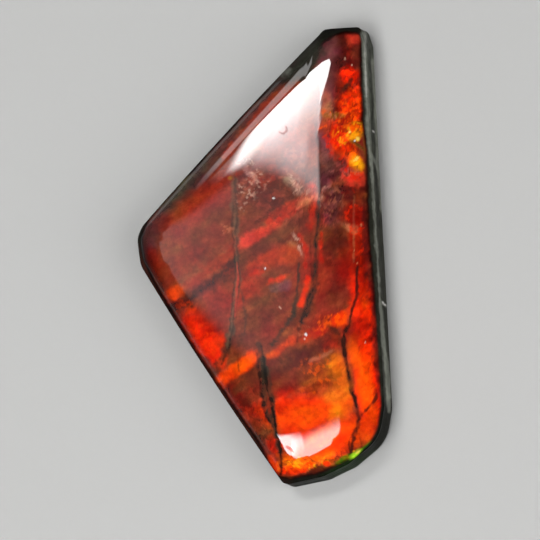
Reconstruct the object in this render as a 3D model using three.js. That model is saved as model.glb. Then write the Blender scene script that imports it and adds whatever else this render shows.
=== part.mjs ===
// A polished freeform ammolite specimen: a domed face of coloured fossil shell on a slab of dark shale.
// Millimetres. The stone lies on its flat back: +X across the face, +Y along it, +Z out of the face.
// The origin is on the back, under the middle of the stone's box.
import * as THREE from "three";

// The outline at the side wall, anticlockwise, as the corners of a polygon that are each rounded off.
// A bulge is how far the edge that follows the corner swells outwards in its middle.
const CORNERS = [
  { name: "left, upper", at: [-12.45, 3.35], radius: 2.5, bulge: 0 },
  { name: "left, lower", at: [-11.95, -0.15], radius: 2.8, bulge: 0.2 },
  { name: "foot, left", at: [2.4, -21.05], radius: 1.0, bulge: 0 },
  { name: "foot, right", at: [6.25, -20.45], radius: 2.5, bulge: 0 },
  { name: "lower facet", at: [8.8, -19.4], radius: 2.5, bulge: 0 },
  { name: "upper facet", at: [11.75, -17.25], radius: 3.5, bulge: 0 },
  { name: "right, low", at: [12.3, -14.3], radius: 3.0, bulge: 0 },
  { name: "right, high", at: [10.7, 19.3], radius: 1.2, bulge: 0 },
  { name: "top, right", at: [10.15, 20.95], radius: 0.7, bulge: 0 },
  { name: "top, left", at: [6.85, 21.1], radius: 0.9, bulge: 0.2 },
];
const ARC_STEPS = 4; // segments in each rounded corner
const EDGE_STEP = 1.7; // longest segment along an edge

// The shale slab, from its back to the seam.
const SEAM_HEIGHT = 2.2;
const BACK_BEVEL = 0.45;
const WALL_TAPER = 0.12; // how far the wall leans in from its foot to the seam

// The domed face: a narrow bevel above the seam, a round shoulder and a low crown.
const BEVEL_WIDTH = 0.18;
const BEVEL_HEIGHT = 0.3;
const SHOULDER_WIDTH = 3.0;
const SHOULDER_HEIGHT = 2.3;
const SHOULDER_POWER = 2.1; // 2 is an ellipse, more is squarer
const CROWN_RISE = 0.6;
const CORNER_SOFTNESS = 4; // the more, the more sharply the shoulder turns at a corner
const DOME_CENTRE = [2.6, -1.5];
const DOME_RINGS = 14;
const RING_CROWDING = 1.6; // above 1 the rings crowd towards the rim, where the dome curves most

// The rounded corner between two edges, as points and the outward direction at each.
function cornerArc(before, corner, after) {
  const here = new THREE.Vector2(...corner.at);
  const back = new THREE.Vector2(...before.at).sub(here).normalize();
  const ahead = new THREE.Vector2(...after.at).sub(here).normalize();
  const halfAngle = Math.acos(back.dot(ahead)) / 2;
  const middle = back.clone().add(ahead).normalize();
  const centre = here.clone().addScaledVector(middle, corner.radius / Math.sin(halfAngle));
  const first = Math.atan2(back.x, -back.y); // the outward direction of the edge that comes in
  const turn = Math.PI - 2 * halfAngle;
  return Array.from({ length: ARC_STEPS + 1 }, (_, step) => {
    const angle = first + (turn * step) / ARC_STEPS;
    const out = new THREE.Vector2(Math.cos(angle), Math.sin(angle));
    return { point: centre.clone().addScaledVector(out, corner.radius), out };
  });
}

// The points of the outline inside the edge from one corner's arc to the next, swollen by the bulge.
function edgePoints(from, to, bulge) {
  const length = from.point.distanceTo(to.point);
  const steps = Math.ceil(length / EDGE_STEP);
  return Array.from({ length: steps - 1 }, (_, index) => {
    const along = (index + 1) / steps;
    const point = from.point.clone().lerp(to.point, along);
    point.addScaledVector(from.out, 4 * bulge * along * (1 - along));
    return { point, out: from.out.clone().lerp(to.out, along).normalize() };
  });
}

function stoneOutline() {
  const count = CORNERS.length;
  const arcs = CORNERS.map((corner, index) =>
    cornerArc(CORNERS[(index + count - 1) % count], corner, CORNERS[(index + 1) % count]),
  );
  const outline = arcs.flatMap((arc, index) => [
    ...arc,
    ...edgePoints(arc[ARC_STEPS], arcs[(index + 1) % count][0], CORNERS[index].bulge),
  ]);
  const box = new THREE.Box2().setFromPoints(outline.map(({ point }) => point));
  const middle = box.getCenter(new THREE.Vector2());
  return { outline: outline.map(({ point, out }) => ({ point: point.sub(middle), out })), middle };
}

const { outline: OUTLINE, middle: BOX_MIDDLE } = stoneOutline();
const centre = new THREE.Vector2(...DOME_CENTRE);

// One ring around the stone: the outline moved inwards by inset, at one height.
const ringAt = (inset, height) =>
  OUTLINE.map(({ point, out }) => {
    const moved = point.clone().addScaledVector(out, -inset);
    return new THREE.Vector3(moved.x, moved.y, height);
  });

// Distance to the rim with the corners rounded off: a soft minimum of the distances to the edges.
const EDGES = CORNERS.map((corner, index) => {
  const start = new THREE.Vector2(...corner.at).sub(BOX_MIDDLE);
  const end = new THREE.Vector2(...CORNERS[(index + 1) % CORNERS.length].at).sub(BOX_MIDDLE);
  const along = end.clone().sub(start).normalize();
  return { start, inward: new THREE.Vector2(-along.y, along.x), swell: corner.bulge };
});

function softDistance(point) {
  const sum = EDGES.reduce((total, { start, inward, swell }) => {
    const distance = point.clone().sub(start).dot(inward) + swell;
    return total + Math.max(distance, 1e-6) ** -CORNER_SOFTNESS;
  }, 0);
  return sum ** (-1 / CORNER_SOFTNESS);
}

const RIM_INSET = WALL_TAPER + BEVEL_WIDTH;
const RIM_HEIGHT = SEAM_HEIGHT + BEVEL_HEIGHT;
const DEEPEST = softDistance(centre) - RIM_INSET;

// Height of the dome at a point that lies a share of the way from the rim to the dome's centre.
function domeHeight(point, rimPoint, share) {
  const rimExcess = softDistance(rimPoint) * (1 - share) ** 2;
  const distance = Math.max(softDistance(point) - rimExcess, 0);
  const across = Math.min(distance / SHOULDER_WIDTH, 1);
  const shoulder = (1 - (1 - across) ** SHOULDER_POWER) ** (1 / SHOULDER_POWER);
  const inward = Math.min(distance / DEEPEST, 1);
  return RIM_HEIGHT + SHOULDER_HEIGHT * shoulder + CROWN_RISE * (1 - (1 - inward) ** 2);
}

function domeRing(share) {
  return ringAt(RIM_INSET, RIM_HEIGHT).map((rim) => {
    const rimPoint = new THREE.Vector2(rim.x, rim.y);
    const point = rimPoint.clone().lerp(centre, share);
    return new THREE.Vector3(point.x, point.y, domeHeight(point, rimPoint, share));
  });
}

// A closed body from rings stacked from the bottom up, each end closed by a fan round one point.
function bodyFromRings(rings, bottom, top) {
  const around = rings[0].length;
  const points = [...rings.flat(), bottom, top];
  const bottomIndex = points.length - 2;
  const topIndex = points.length - 1;
  const lastRing = (rings.length - 1) * around;
  const faces = [];
  for (let step = 0; step < around; step++) {
    const next = (step + 1) % around;
    faces.push(bottomIndex, next, step);
    faces.push(topIndex, lastRing + step, lastRing + next);
    for (let ring = 0; ring < lastRing; ring += around) {
      faces.push(ring + step, ring + next, ring + around + next);
      faces.push(ring + step, ring + around + next, ring + around + step);
    }
  }
  const geometry = new THREE.BufferGeometry();
  geometry.setAttribute("position", new THREE.Float32BufferAttribute(points.flatMap((p) => p.toArray()), 3));
  geometry.setIndex(faces);
  geometry.computeVertexNormals();
  return geometry;
}

function shaleBacking() {
  const rings = [
    ringAt(BACK_BEVEL, 0),
    ringAt(0, BACK_BEVEL),
    ringAt(WALL_TAPER, SEAM_HEIGHT),
  ];
  const bottom = new THREE.Vector3(centre.x, centre.y, 0);
  const top = new THREE.Vector3(centre.x, centre.y, SEAM_HEIGHT);
  return bodyFromRings(rings, bottom, top);
}

function ammoliteFace() {
  const shares = Array.from({ length: DOME_RINGS - 1 }, (_, ring) => ((ring + 1) / DOME_RINGS) ** RING_CROWDING);
  const rings = [ringAt(WALL_TAPER, SEAM_HEIGHT), ringAt(RIM_INSET, RIM_HEIGHT), ...shares.map(domeRing)];
  const bottom = new THREE.Vector3(centre.x, centre.y, SEAM_HEIGHT);
  const top = new THREE.Vector3(centre.x, centre.y, domeHeight(centre, centre, 1));
  return bodyFromRings(rings, bottom, top);
}

function namedMesh(name, geometry, color, roughness) {
  const mesh = new THREE.Mesh(geometry, new THREE.MeshStandardMaterial({ color, roughness, metalness: 0 }));
  mesh.name = name;
  return mesh;
}

const specimen = new THREE.Group();
specimen.add(namedMesh("ammolite_face", ammoliteFace(), 0xb8381a, 0.08));
specimen.add(namedMesh("shale_backing", shaleBacking(), 0x474b45, 0.6));

export default specimen;
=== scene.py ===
"""A polished freeform ammolite specimen: a domed face of red and orange fossil shell on a dark shale slab.

The stone lies on its flat back on a pale floor, and the camera looks down on it.
Lengths are millimetres until a mesh is made. Places on the face that were read off the photo are pixels of
the 540 x 540 picture that the camera takes, and shown_at() says where in it a point of the stone shows.
"""
import math

import bpy
import numpy as np
from mathutils import Matrix, Vector


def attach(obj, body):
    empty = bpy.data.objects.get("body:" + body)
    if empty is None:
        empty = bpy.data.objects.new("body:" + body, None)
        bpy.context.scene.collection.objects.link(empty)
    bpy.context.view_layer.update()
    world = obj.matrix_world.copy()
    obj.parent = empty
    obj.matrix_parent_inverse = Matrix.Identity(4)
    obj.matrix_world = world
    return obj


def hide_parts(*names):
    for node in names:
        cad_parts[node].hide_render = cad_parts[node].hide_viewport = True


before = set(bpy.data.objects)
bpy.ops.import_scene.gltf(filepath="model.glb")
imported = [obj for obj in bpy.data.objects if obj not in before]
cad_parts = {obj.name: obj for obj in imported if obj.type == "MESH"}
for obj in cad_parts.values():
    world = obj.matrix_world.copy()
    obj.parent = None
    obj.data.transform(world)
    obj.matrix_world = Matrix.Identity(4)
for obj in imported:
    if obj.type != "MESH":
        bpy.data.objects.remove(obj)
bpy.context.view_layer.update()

MM = 0.001

# --- The stone's form, as in the CAD model ---
# Corners of the outline, anticlockwise: x, y, radius of the rounding, swell of the edge that follows.
# They were fitted to the photo's silhouette, and then rounded.
CORNERS = [
    (-12.45, 3.35, 2.5, 0),
    (-11.95, -0.15, 2.8, 0.2),
    (2.4, -21.05, 1, 0),
    (6.25, -20.45, 2.5, 0),
    (8.8, -19.4, 2.5, 0),
    (11.75, -17.25, 3.5, 0),
    (12.3, -14.3, 3, 0),
    (10.7, 19.3, 1.2, 0),
    (10.15, 20.95, 0.7, 0),
    (6.85, 21.1, 0.9, 0.2),
]
SEAM_HEIGHT = 2.2
BACK_BEVEL = 0.45
WALL_TAPER = 0.12
BEVEL_WIDTH = 0.18
BEVEL_HEIGHT = 0.3
SHOULDER_WIDTH = 3.0
SHOULDER_HEIGHT = 2.3
SHOULDER_POWER = 2.1
CROWN_RISE = 0.6
CORNER_SOFTNESS = 4
DOME_CENTRE = np.array([2.6, -1.5])
RIM_INSET = WALL_TAPER + BEVEL_WIDTH
RIM_HEIGHT = SEAM_HEIGHT + BEVEL_HEIGHT

# --- The camera ---
PICTURE_SIZE = 540
PIXELS_PER_MM = 10.95
CAMERA_TURN = 23.5  # degrees to the right of the face's normal
CAMERA_DROP = 10.5  # degrees below it
CAMERA_DISTANCE = 274.0
CLIP = (10, 20000)
SENSOR = 36.0
AIM = np.array([0.757, -0.03, 2.6])
AIM_PIXEL = np.array([265.0, 257.0])


def camera_axes():
    """The directions right, up and towards the camera."""
    turn = math.radians(CAMERA_TURN)
    drop = math.radians(-CAMERA_DROP)
    towards = np.array([math.sin(turn) * math.cos(drop), math.sin(drop), math.cos(turn) * math.cos(drop)])
    up = np.array([0.0, 1.0, 0.0]) - towards[1] * towards
    up /= np.linalg.norm(up)
    return np.cross(up, towards), up, towards


def shown_at(points):
    """The pixel at which each point of the stone shows in the picture."""
    right, up, towards = camera_axes()
    from_aim = points - AIM
    nearer = CAMERA_DISTANCE / (CAMERA_DISTANCE - from_aim @ towards)
    across = AIM_PIXEL[0] + PIXELS_PER_MM * (from_aim @ right) * nearer
    down = AIM_PIXEL[1] - PIXELS_PER_MM * (from_aim @ up) * nearer
    return np.stack([across, down], 1)


def make_camera():
    right, up, towards = camera_axes()
    offset = (AIM_PIXEL - PICTURE_SIZE / 2) / PIXELS_PER_MM
    place = AIM + towards * CAMERA_DISTANCE - right * offset[0] + up * offset[1]
    data = bpy.data.cameras.new("camera")
    data.sensor_width = SENSOR
    data.lens = SENSOR * CAMERA_DISTANCE * PIXELS_PER_MM / PICTURE_SIZE
    data.clip_start, data.clip_end = CLIP[0] * MM, CLIP[1] * MM
    camera = bpy.data.objects.new("camera", data)
    bpy.context.scene.collection.objects.link(camera)
    pose = np.eye(4)
    pose[:3, :3] = np.stack([right, up, towards], 1)
    pose[:3, 3] = place * MM
    camera.matrix_world = Matrix(pose.tolist())
    bpy.context.scene.camera = camera


# --- Seeded noise ---
AXIS_PRIMES = (73856093, 19349663, 83492791)
SEED_PRIME = 2654435761
MIXERS = ((13, 1274126177), (16, 668265263))  # how far the bits are shifted, and a factor
OCTAVE_SHIFT = 17.3


def cell_value(cells, seed):
    """A repeatable value from 0 to 1 for each whole-numbered cell."""
    bits = seed * SEED_PRIME
    for axis, prime in enumerate(AXIS_PRIMES):
        bits = cells[..., axis].astype(np.int64) * prime ^ bits
    for shift, mixer in MIXERS:
        bits = (bits ^ (bits >> shift)) * mixer & 0x7FFFFFFF
    return ((bits ^ (bits >> 15)) & 0xFFFFFF) / 0xFFFFFF


def noise(points, seed):
    cell = np.floor(points)
    part = points - cell
    part = part * part * part * (part * (part * 6 - 15) + 10)
    total = 0
    for corner in np.ndindex(2, 2, 2):
        corner = np.array(corner)
        weight = np.prod(np.where(corner == 1, part, 1 - part), axis=-1)
        total = total + weight * cell_value(cell + corner, seed)
    return total


def clouds(points, size, seed, octaves=4, roughness=0.55):
    """Fractal noise around zero, from -0.5 to 0.5, with lumps of the given size."""
    total = 0
    weight = 1
    weights = 0
    for octave in range(octaves):
        total = total + weight * noise(points * 2**octave / size + OCTAVE_SHIFT * octave, seed + octave)
        weights += weight
        weight *= roughness
    return total / weights - 0.5


def smooth(low, high, value):
    part = np.clip((value - low) / (high - low), 0, 1)
    return part * part * (3 - 2 * part)


def facets(places, size, seed):
    """Crumpled facets on a plane: a value from 0 to 1 for each facet, and the distance to a facet's edge."""
    scaled = places / size
    cell = np.floor(scaled)
    nearest = np.full(len(places), np.inf)
    second = np.full(len(places), np.inf)
    value = np.zeros(len(places))
    for step in np.ndindex(3, 3):
        there = cell + np.array(step) - 1
        flat = np.column_stack([there, np.zeros(len(there))])
        seat = there + np.stack([cell_value(flat, seed), cell_value(flat, seed + 1)], 1)
        away = np.linalg.norm(scaled - seat, axis=1)
        closer = away < nearest
        second = np.where(closer, nearest, np.minimum(second, away))
        value = np.where(closer, cell_value(flat, seed + 2), value)
        nearest = np.minimum(nearest, away)
    return value, (second - nearest) * size


# --- The outline and the dome ---
ARC_STEPS = 40
EDGE_STEP = 0.05


def corner_arc(index):
    """The rounded corner between two edges: its points, and the outward direction at each."""
    corners = np.array([corner[:2] for corner in CORNERS])
    here = corners[index]
    back = corners[index - 1] - here
    ahead = corners[(index + 1) % len(corners)] - here
    back /= np.linalg.norm(back)
    ahead /= np.linalg.norm(ahead)
    half_angle = math.acos(back @ ahead) / 2
    middle = (back + ahead) / np.linalg.norm(back + ahead)
    radius = CORNERS[index][2]
    centre = here + middle * radius / math.sin(half_angle)
    angles = math.atan2(back[0], -back[1]) + np.linspace(0, math.pi - 2 * half_angle, ARC_STEPS + 1)
    out = np.stack([np.cos(angles), np.sin(angles)], 1)
    return centre + radius * out, out


def fine_outline():
    """The closed outline, its outward directions, and the index of the middle of each corner."""
    points, outs, marks = [], [], []
    arcs = [corner_arc(index) for index in range(len(CORNERS))]
    for index, (arc, out) in enumerate(arcs):
        marks.append(sum(len(part) for part in points) + ARC_STEPS // 2)
        end = arcs[(index + 1) % len(CORNERS)][0][0]
        steps = max(2, int(np.linalg.norm(end - arc[-1]) / EDGE_STEP))
        along = np.arange(1, steps)[:, None] / steps
        swell = out[-1] * 4 * CORNERS[index][3] * along * (1 - along)
        points += [arc, arc[-1] + (end - arc[-1]) * along + swell]
        outs += [out, np.repeat(out[-1:], steps - 1, 0)]
    return np.concatenate(points), np.concatenate(outs), marks


OUTLINE, OUTWARD, CORNER_MARKS = fine_outline()
BOX_MIDDLE = (OUTLINE.min(0) + OUTLINE.max(0)) / 2
CLOSED_OUTLINE = np.vstack([OUTLINE, OUTLINE[:1]]) - BOX_MIDDLE
CLOSED_OUTWARD = np.vstack([OUTWARD, OUTWARD[:1]])
LENGTHS = np.concatenate([[0], np.cumsum(np.linalg.norm(np.diff(CLOSED_OUTLINE, axis=0), axis=1))])


def outline_at(lengths):
    """Outline points and outward directions at these distances along it."""
    lengths = np.mod(lengths, LENGTHS[-1])
    points = np.stack([np.interp(lengths, LENGTHS, CLOSED_OUTLINE[:, axis]) for axis in (0, 1)], 1)
    out = np.stack([np.interp(lengths, LENGTHS, CLOSED_OUTWARD[:, axis]) for axis in (0, 1)], 1)
    return points, out / np.linalg.norm(out, axis=1, keepdims=True)


def rim_distance(points):
    """Distance to the outline with the corners rounded off: a soft minimum over its edges."""
    corners = np.array([corner[:2] for corner in CORNERS]) - BOX_MIDDLE
    total = 0
    for index, start in enumerate(corners):
        along = corners[(index + 1) % len(corners)] - start
        along /= np.linalg.norm(along)
        inward = np.array([-along[1], along[0]])
        distance = (points - start) @ inward + CORNERS[index][3]
        total = total + np.maximum(distance, 1e-6) ** -CORNER_SOFTNESS
    return total ** (-1 / CORNER_SOFTNESS)


DEEPEST = rim_distance(DOME_CENTRE) - RIM_INSET


def dome_height(points, rim, share):
    """Height of the face at points that lie a share of the way from the rim to the dome's centre."""
    distance = np.maximum(rim_distance(points) - rim_distance(rim) * (1 - share) ** 2, 0)
    across = np.minimum(distance / SHOULDER_WIDTH, 1)
    shoulder = (1 - (1 - across) ** SHOULDER_POWER) ** (1 / SHOULDER_POWER)
    inward = np.minimum(distance / DEEPEST, 1)
    return RIM_HEIGHT + SHOULDER_HEIGHT * shoulder + CROWN_RISE * (1 - (1 - inward) ** 2)


# --- A square net over the stone: ring m has 8m points, and its four sides end at main corners ---
MAIN_CORNERS = [(0, 1), (2, 2), (5, 6), (8, 9)]  # left, foot, low right and top, as pairs of CORNERS


def ring_lengths(ring):
    """Distances along the outline of the 8 x ring points of one ring."""
    starts = [(LENGTHS[CORNER_MARKS[a]] + LENGTHS[CORNER_MARKS[b]]) / 2 for a, b in MAIN_CORNERS]
    ends = starts[1:] + [starts[0] + LENGTHS[-1]]
    steps = np.arange(2 * ring) / (2 * ring)
    return np.concatenate([start + (end - start) * steps for start, end in zip(starts, ends)])


def ring_start(ring):
    """Index of a ring's first point, where ring 0 is the single point in the middle."""
    return 0 if ring == 0 else 1 + 4 * (ring - 1) * ring


def net_faces(rings):
    """The net's four-sided faces, which face up."""
    faces = []
    for ring in range(rings):
        inner, outer = ring_start(ring), ring_start(ring + 1)
        inner_count, outer_count = max(8 * ring, 1), 8 * (ring + 1)
        for side in range(4):
            first, first_out = side * 2 * ring, side * 2 * (ring + 1)
            corner = [inner + first % inner_count, outer + (first_out - 1) % outer_count,
                      outer + first_out, outer + first_out + 1]
            step = np.arange(2 * ring)
            edge = np.stack([
                inner + first + step,
                outer + first_out + step + 1,
                outer + (first_out + step + 2) % outer_count,
                inner + (first + step + 1) % inner_count,
            ], 1)
            faces += [np.array([corner]), edge]
    return np.concatenate(faces)


def band_faces(lower, upper, count):
    """Faces of a band between two rings of points, given each ring's first index. They face outwards."""
    step = np.arange(count)
    after = (step + 1) % count
    return np.stack([lower + step, lower + after, upper + after, upper + step], 1)


def fan_faces(ring, middle, count):
    """Three-sided faces from a ring of points to the one in its middle. They face up."""
    step = np.arange(count)
    return np.stack([ring + step, ring + (step + 1) % count, np.full(count, middle)], 1)


def make_mesh(name, points, faces, flat_faces=0):
    """A mesh object in metres. The last flat_faces faces aren't shaded smooth."""
    mesh = bpy.data.meshes.new(name)
    mesh.from_pydata((points * MM).tolist(), [], [face.tolist() for group in faces for face in group])
    shading = np.ones(len(mesh.polygons), bool)
    shading[len(shading) - flat_faces:] = False
    mesh.polygons.foreach_set("use_smooth", shading)
    mesh.update()
    piece = bpy.data.objects.new(name, mesh)
    bpy.context.scene.collection.objects.link(piece)
    return piece


def set_colour(mesh, name, colour):
    """A colour attribute, one linear colour for each point."""
    attribute = mesh.color_attributes.new(name, "FLOAT_COLOR", "POINT")
    rgba = np.column_stack([colour, np.ones(len(colour))]).astype(np.float32)
    attribute.data.foreach_set("color", rgba.ravel())


def set_number(mesh, name, values):
    attribute = mesh.attributes.new(name, "FLOAT", "POINT")
    attribute.data.foreach_set("value", values.astype(np.float32))


# --- The colours of the face, laid down as soft patches, streaks, cracks and specks ---
# The palette, as shown on a screen, from 0 to 255.
BRICK = (122, 47, 29)
BROWN = (92, 39, 24)
MAROON = (78, 20, 16)
DUSK = (88, 50, 42)
SMOKE = (64, 50, 45)
ROSE = (164, 62, 38)
PLUM = (108, 58, 58)
MAUVE = (88, 44, 42)
WINE = (134, 20, 8)
RUST = (150, 41, 22)
RED = (212, 32, 8)
RUBY = (246, 40, 5)
SCARLET = (242, 62, 9)
ORANGE = (250, 86, 8)
FLAME = (255, 118, 12)
AMBER = (204, 98, 22)
GOLD = (252, 166, 20)
YELLOW = (255, 214, 90)
TAN = (190, 104, 70)
CREAM = (220, 170, 145)
OLIVE = (146, 92, 34)
UMBER = (60, 28, 20)
CRACK = (40, 20, 15)
MOSS = (46, 40, 30)
KHAKI = (96, 80, 60)
CORAL = (228, 62, 42)
STONE = (24, 24, 19)
EARTH = (78, 50, 36)
GREY = (84, 88, 78)
SLATE = (44, 44, 37)
ASH = (120, 122, 112)
BLACK = (15, 14, 11)
FOREST = (18, 42, 9)
GREEN = (40, 140, 10)
LIME = (176, 235, 46)
WHITE = (235, 232, 226)
PAINT_LEVEL = 0.55  # the lights lift the paint back to the palette

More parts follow.
